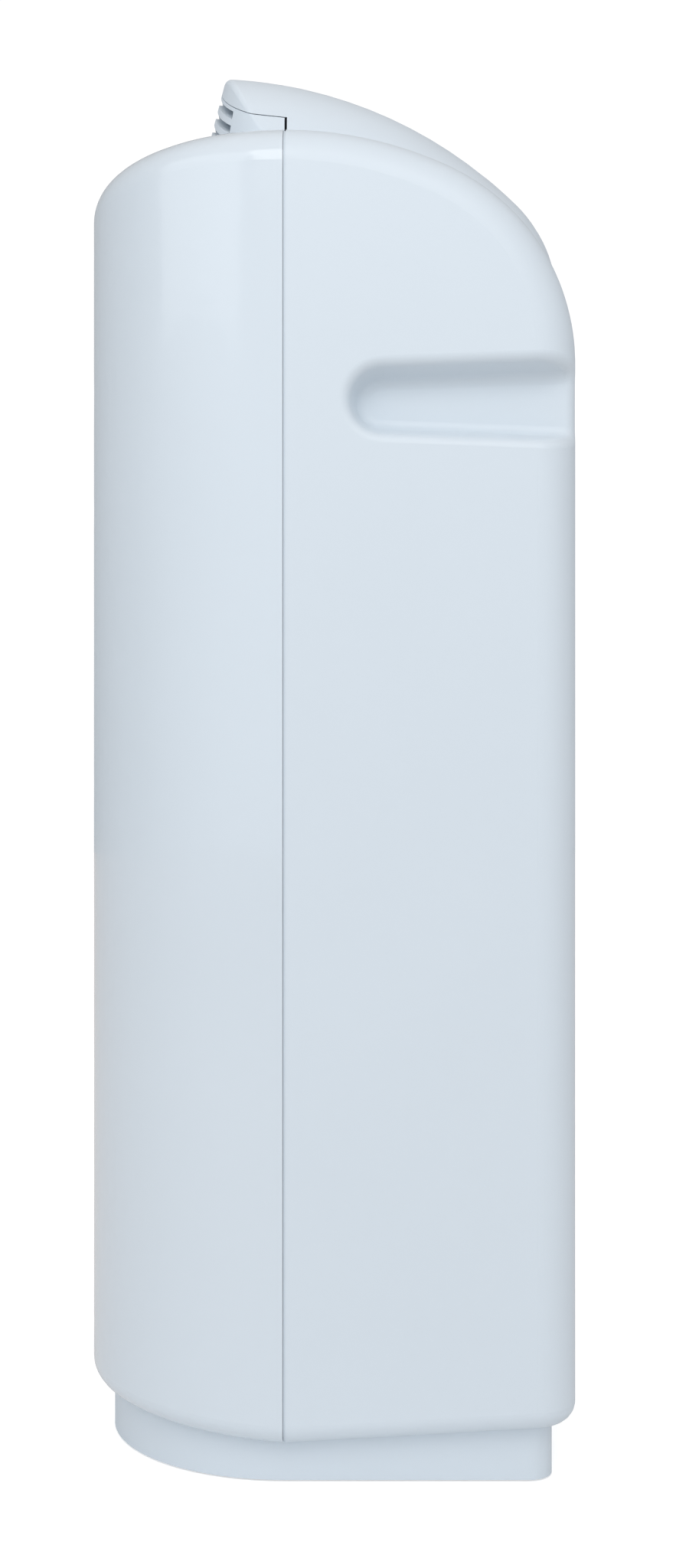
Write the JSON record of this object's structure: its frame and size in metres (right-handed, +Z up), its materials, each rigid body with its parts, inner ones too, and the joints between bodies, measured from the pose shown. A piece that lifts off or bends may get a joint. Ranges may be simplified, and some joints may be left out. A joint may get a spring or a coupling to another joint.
{
  "type": "air purifier",
  "caption": "Tower air purifier: bowed front cover, raised spine with a louvred outlet, hand pockets in the flanks, rear filter door and inset plinth.",
  "frame": {"origin": "on the ground plane under the middle of the body", "axes": "+Z up, the bowed front cover and the outlet face -Y, +X across the flanks"},
  "size_m": [0.204, 0.244, 0.7003],
  "materials": {
    "gloss_shell": "gloss",
    "satin_shell": "satin",
    "panel_plastic": "satin",
    "frame_plastic": "as moulded",
    "button_plastic": "gloss",
    "window_plastic": "smoked",
    "led_resin": "clear",
    "black_rubber": "matte",
    "black_nylon": "matte",
    "dark_wheel": "matte",
    "zinc_steel": "zinc plated",
    "bearing_steel": "ground",
    "motor_steel": "painted",
    "laminated_steel": "laminated",
    "board": "solder resist",
    "component": "moulded",
    "quartz": "clear",
    "ceramic": "matte",
    "card": "matte",
    "filter_fleece": "fleece",
    "carbon_foam": "open foam"
  },
  "bodies": {
    "housing": {"front_cover": "gloss_shell", "rear_housing": "satin_shell", "outlet_grille": "satin_shell", "base_plinth": "satin_shell", "rubber_feet": "black_rubber", "base_screws": "zinc_steel", "cord_gland": "black_nylon", "inner_frame": "frame_plastic", "fan_scroll": "frame_plastic", "scroll_screws": "zinc_steel", "motor_can": "motor_steel", "motor_screws": "zinc_steel", "motor_bearings": "bearing_steel", "motor_stator": "laminated_steel", "uv_lamp": "quartz", "lamp_caps": "ceramic", "lamp_holders": "frame_plastic", "power_board": "board", "board_standoffs": "black_nylon", "power_parts": "component", "control_panel": "panel_plastic", "display_window": "window_plastic", "indicator_leds": "led_resin", "control_board": "board", "switches": "component"},
    "fan": {"fan_wheel": "dark_wheel", "motor_shaft": "bearing_steel", "motor_rotor": "laminated_steel"},
    "rear_door": {"rear_grille": "satin_shell"},
    "filter": {"filter_frame": "card", "filter_media": "filter_fleece", "prefilter": "carbon_foam"},
    "power_key": {"power_button": "button_plastic"},
    "speed_key": {"speed_button": "button_plastic"},
    "timer_key": {"timer_button": "button_plastic"},
    "lamp_key": {"lamp_button": "button_plastic"}
  },
  "joints": [
    {"name": "fan_spin", "type": "hinge", "parent": "housing", "child": "fan", "pos_m": [0, 0, 0.4], "axis": [0, 1, 0], "continuous": true},
    {"name": "door_off", "type": "slide", "parent": "housing", "child": "rear_door", "axis": [0, 1, 0], "range_m": [0, 0.26]},
    {"name": "filter_out", "type": "slide", "parent": "housing", "child": "filter", "axis": [0, 1, 0], "range_m": [0, 0.13]},
    {"name": "power_press", "type": "slide", "parent": "housing", "child": "power_key", "axis": [0, -0.3173, -0.9483], "range_m": [0, 0.0012], "stiffness_N_per_m": 400, "springref_m": -0.001},
    {"name": "speed_press", "type": "slide", "parent": "housing", "child": "speed_key", "axis": [0, -0.3987, -0.9171], "range_m": [0, 0.0012], "stiffness_N_per_m": 400, "springref_m": -0.001},
    {"name": "timer_press", "type": "slide", "parent": "housing", "child": "timer_key", "axis": [0, -0.4772, -0.8788], "range_m": [0, 0.0012], "stiffness_N_per_m": 400, "springref_m": -0.001},
    {"name": "lamp_press", "type": "slide", "parent": "housing", "child": "lamp_key", "axis": [0, -0.5519, -0.8339], "range_m": [0, 0.0012], "stiffness_N_per_m": 400, "springref_m": -0.001}
  ],
  "couplings": [
    {"joint": "filter_out", "follows": "door_off", "ratio": 0.5}
  ]
}
